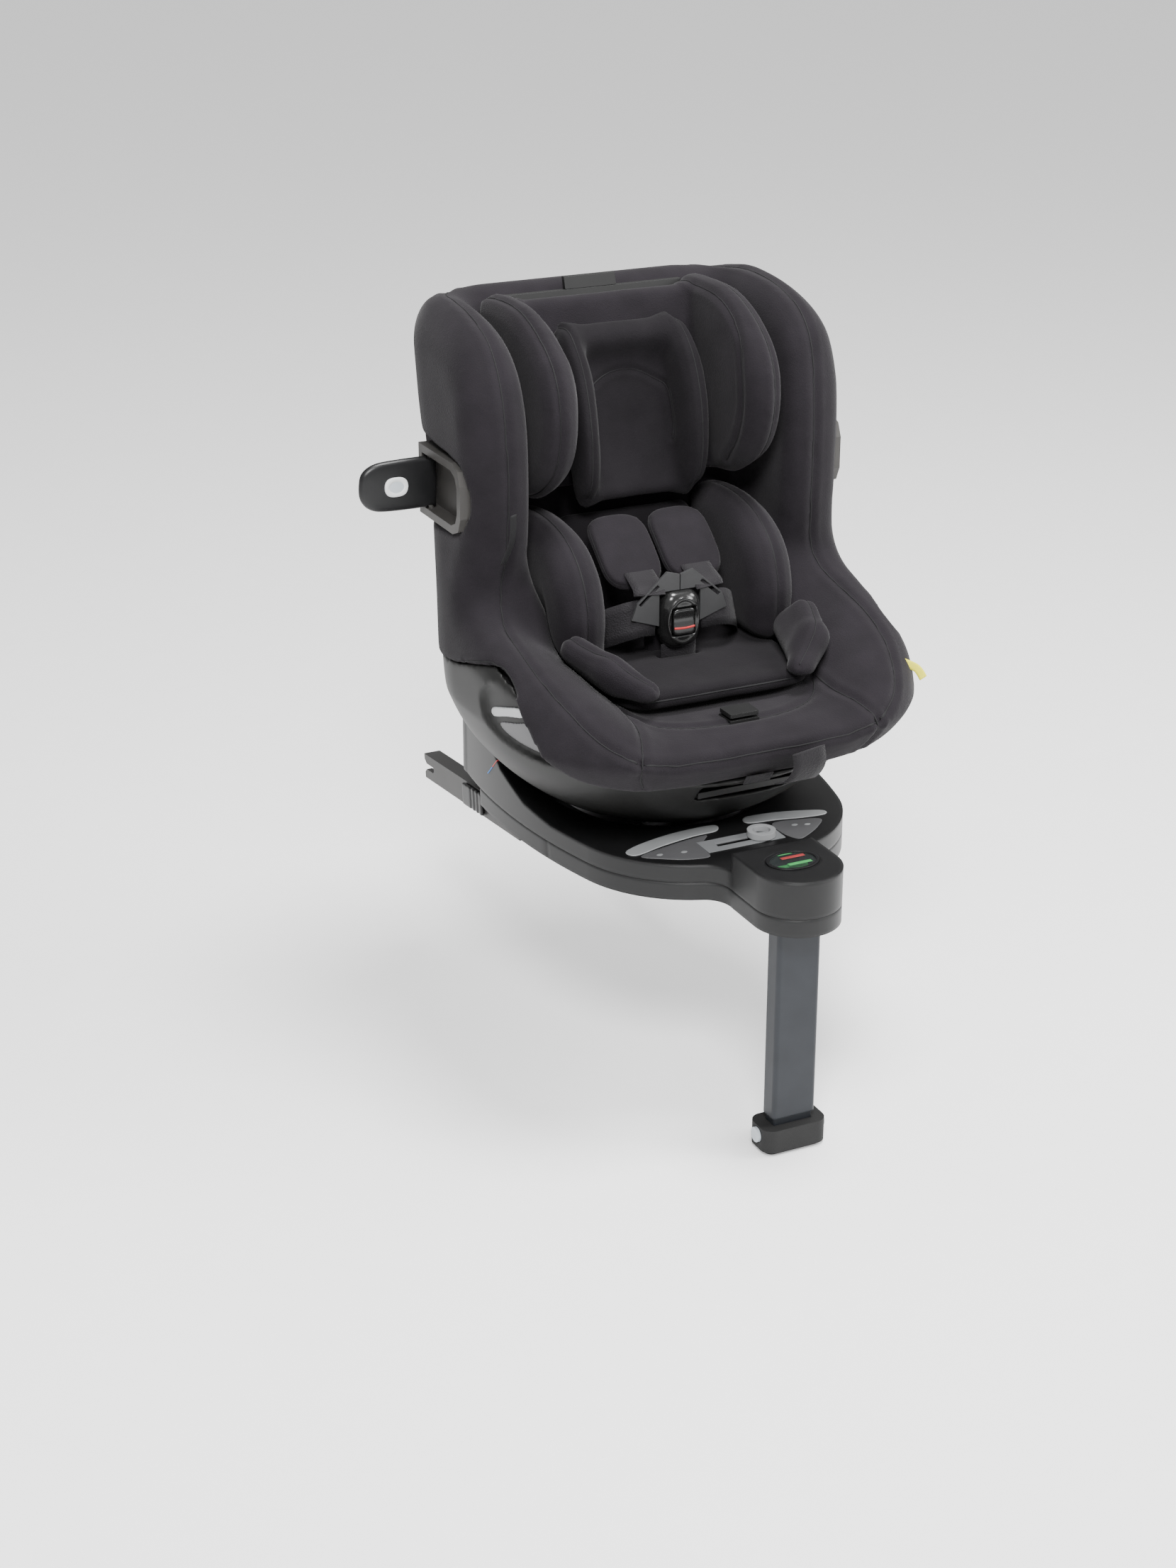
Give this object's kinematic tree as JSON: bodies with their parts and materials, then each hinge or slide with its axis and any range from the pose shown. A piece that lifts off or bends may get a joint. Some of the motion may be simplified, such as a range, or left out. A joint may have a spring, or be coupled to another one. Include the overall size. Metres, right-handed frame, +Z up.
{
  "type": "convertible car seat",
  "caption": "Padded child car seat that swivels and reclines on a base with a support leg and two rigid connector arms.",
  "frame": {"origin": "on the flat underside of the base, on the swivel axis", "axes": "+Z up, -Y the way the child faces, +X the child's left"},
  "size_m": [0.497, 0.5871, 0.7565],
  "materials": {
    "base_plastic": "moulded, fine grain",
    "bowl_plastic": "moulded, satin",
    "inner_plastic": "moulded",
    "fabric": "matte knit over foam",
    "webbing": "woven webbing",
    "panel_silver": "printed plate",
    "ring_grey": "satin",
    "clear_lens": "clear",
    "drum": "two colours",
    "steel": "plain",
    "dark_metal": "powder coated",
    "arm_metal": "satin",
    "foot_plastic": "fine grain",
    "foot_rubber": "matte",
    "button_grey": "satin",
    "pod_plastic": "satin",
    "frame_grey": "satin",
    "buckle_plastic": "satin",
    "buckle_red": "satin with a red edge",
    "tongue_grey": "moulded over steel"
  },
  "bodies": {
    "base": {"base_upper_shell": "base_plastic", "base_lower_shell": "base_plastic", "lock_panel": "panel_silver", "info_plates": "panel_silver", "window_bezel": "pod_plastic", "window_lens": "clear_lens", "indicator_tray": "inner_plastic", "swivel_glide_ring": "inner_plastic", "swivel_retainer": "steel", "swivel_spindle": "steel", "arm_rails": "steel", "leg_bracket": "steel", "leg_pivot_pin": "steel"},
    "lock_ring": {"lock_ring": "ring_grey"},
    "indicator_drum": {"indicator_drum": "drum"},
    "turntable": {"turntable_disc": "steel", "recline_cradle": "steel", "cradle_screws": "steel"},
    "seat": {"recline_axles": "steel", "recline_hangers": "steel", "bucket_shell": "inner_plastic", "seat_cover": "fabric", "bowl_shell": "bowl_plastic", "pod_trays": "frame_grey", "insert_back_pad": "fabric", "insert_seat_pad": "fabric", "insert_side_pads": "fabric", "insert_hip_pads": "fabric", "buckle_housing": "buckle_plastic", "crotch_strap": "webbing", "crotch_pad": "fabric", "buckle_tongues": "tongue_grey", "shoulder_straps": "webbing", "lap_straps": "webbing", "adjuster_strap": "webbing", "adjuster_housing": "inner_plastic", "lever_mounts": "steel"},
    "headrest": {"headrest_plate": "inner_plastic", "headrest_pad": "fabric", "head_insert": "fabric"},
    "headrest_handle": {"headrest_handle": "inner_plastic"},
    "recline_lever": {"recline_lever": "inner_plastic"},
    "buckle_button": {"buckle_button": "buckle_red"},
    "adjuster_button": {"adjuster_button": "inner_plastic"},
    "impact_pod_left": {"impact_pod_left": "pod_plastic"},
    "impact_pod_right": {"impact_pod_right": "pod_plastic"},
    "pod_button_left": {"pod_button_left": "button_grey"},
    "pod_button_right": {"pod_button_right": "button_grey"},
    "arm_left": {"connector_arm_left": "arm_metal"},
    "arm_right": {"connector_arm_right": "arm_metal"},
    "hook_left": {"connector_hook_left": "steel"},
    "hook_right": {"connector_hook_right": "steel"},
    "release_left": {"release_slide_left": "foot_plastic"},
    "release_right": {"release_slide_right": "foot_plastic"},
    "leg_outer": {"leg_outer_tube": "dark_metal"},
    "leg_inner": {"leg_inner_tube": "dark_metal", "leg_foot": "foot_plastic"},
    "foot_sole": {"foot_sole": "foot_rubber"},
    "foot_button_left": {"foot_button_left": "button_grey"},
    "foot_button_right": {"foot_button_right": "button_grey"}
  },
  "joints": [
    {"name": "swivel", "type": "hinge", "parent": "base", "child": "turntable", "pos_m": [0, 0, 0.02], "axis": [0, 0, 1], "continuous": true},
    {"name": "recline", "type": "hinge", "parent": "turntable", "child": "seat", "pos_m": [0, 0, 0.253], "axis": [-1, 0, 0], "range_deg": [0, 20]},
    {"name": "headrest_height", "type": "slide", "parent": "seat", "child": "headrest", "axis": [0, 0.3024, 0.9532], "range_m": [0, 0.12]},
    {"name": "headrest_handle_squeeze", "type": "slide", "parent": "headrest", "child": "headrest_handle", "axis": [0, 0.3024, 0.9532], "range_m": [0, 0.006], "stiffness_N_per_m": 600, "springref_m": -0.002},
    {"name": "recline_lever_squeeze", "type": "hinge", "parent": "seat", "child": "recline_lever", "pos_m": [0, -0.13, 0.093], "axis": [-1, 0, 0], "range_deg": [0, 6], "stiffness_Nm_per_rad": 6, "springref_deg": -5.73},
    {"name": "buckle_press", "type": "slide", "parent": "seat", "child": "buckle_button", "axis": [0, 1, 0], "range_m": [0, 0.003], "stiffness_N_per_m": 2500, "springref_m": -0.001},
    {"name": "adjuster_press", "type": "slide", "parent": "seat", "child": "adjuster_button", "axis": [0, 0, -1], "range_m": [0, 0.002], "stiffness_N_per_m": 1500, "springref_m": -0.001},
    {"name": "impact_pod_left_swing", "type": "hinge", "parent": "seat", "child": "impact_pod_left", "pos_m": [0.202, 0.101, 0.347], "axis": [0, 0, 1], "range_deg": [0, 90]},
    {"name": "impact_pod_right_swing", "type": "hinge", "parent": "seat", "child": "impact_pod_right", "pos_m": [-0.202, 0.101, 0.347], "axis": [0, 0, 1], "range_deg": [0, 90]},
    {"name": "pod_button_left_press", "type": "slide", "parent": "impact_pod_left", "child": "pod_button_left", "axis": [1, 0, 0], "range_m": [0, 0.001], "stiffness_N_per_m": 1500, "springref_m": -0.001},
    {"name": "pod_button_right_press", "type": "slide", "parent": "impact_pod_right", "child": "pod_button_right", "axis": [0, 1, 0], "range_m": [0, 0.001], "stiffness_N_per_m": 1500, "springref_m": -0.001},
    {"name": "leg_fold", "type": "hinge", "parent": "base", "child": "leg_outer", "pos_m": [0, -0.275, 0.012], "axis": [1, 0, 0], "range_deg": [0, 75]},
    {"name": "leg_extend", "type": "slide", "parent": "leg_outer", "child": "leg_inner", "axis": [0, 0, -1], "range_m": [0, 0.13]},
    {"name": "foot_load", "type": "slide", "parent": "leg_inner", "child": "foot_sole", "axis": [0, 0, 1], "range_m": [0, 0.0022], "stiffness_N_per_m": 3000, "springref_m": -0.001},
    {"name": "indicator_turn", "type": "hinge", "parent": "base", "child": "indicator_drum", "pos_m": [0, -0.267, 0.0455], "axis": [1, 0, 0], "range_deg": [0, 90]},
    {"name": "lock_slide", "type": "slide", "parent": "base", "child": "lock_ring", "axis": [-1, 0, 0], "range_m": [0, 0.044]},
    {"name": "arm_left_extend", "type": "slide", "parent": "base", "child": "arm_left", "axis": [0, -0.9951, 0.0993], "range_m": [0, 0.06]},
    {"name": "release_left", "type": "slide", "parent": "arm_left", "child": "release_left", "axis": [0, -0.9951, 0.0993], "range_m": [0, 0.008]},
    {"name": "hook_left_close", "type": "hinge", "parent": "arm_left", "child": "hook_left", "pos_m": [0.14, 0.2173, -0.02531], "axis": [1, 0, 0], "range_deg": [0, 13]},
    {"name": "foot_button_left_press", "type": "slide", "parent": "leg_inner", "child": "foot_button_left", "axis": [-1, 0, 0], "range_m": [0, 0.002], "stiffness_N_per_m": 1500, "springref_m": -0.001},
    {"name": "arm_right_extend", "type": "slide", "parent": "base", "child": "arm_right", "axis": [0, -0.9951, 0.0993], "range_m": [0, 0.06]},
    {"name": "release_right", "type": "slide", "parent": "arm_right", "child": "release_right", "axis": [0, -0.9951, 0.0993], "range_m": [0, 0.008]},
    {"name": "hook_right_close", "type": "hinge", "parent": "arm_right", "child": "hook_right", "pos_m": [-0.14, 0.2173, -0.02531], "axis": [1, 0, 0], "range_deg": [0, 13]},
    {"name": "foot_button_right_press", "type": "slide", "parent": "leg_inner", "child": "foot_button_right", "axis": [1, 0, 0], "range_m": [0, 0.002], "stiffness_N_per_m": 1500, "springref_m": -0.001}
  ],
  "couplings": [
    {"joint": "hook_left_close", "follows": "release_left", "rad_per_m": 28.362},
    {"joint": "hook_right_close", "follows": "release_right", "rad_per_m": 28.362}
  ]
}
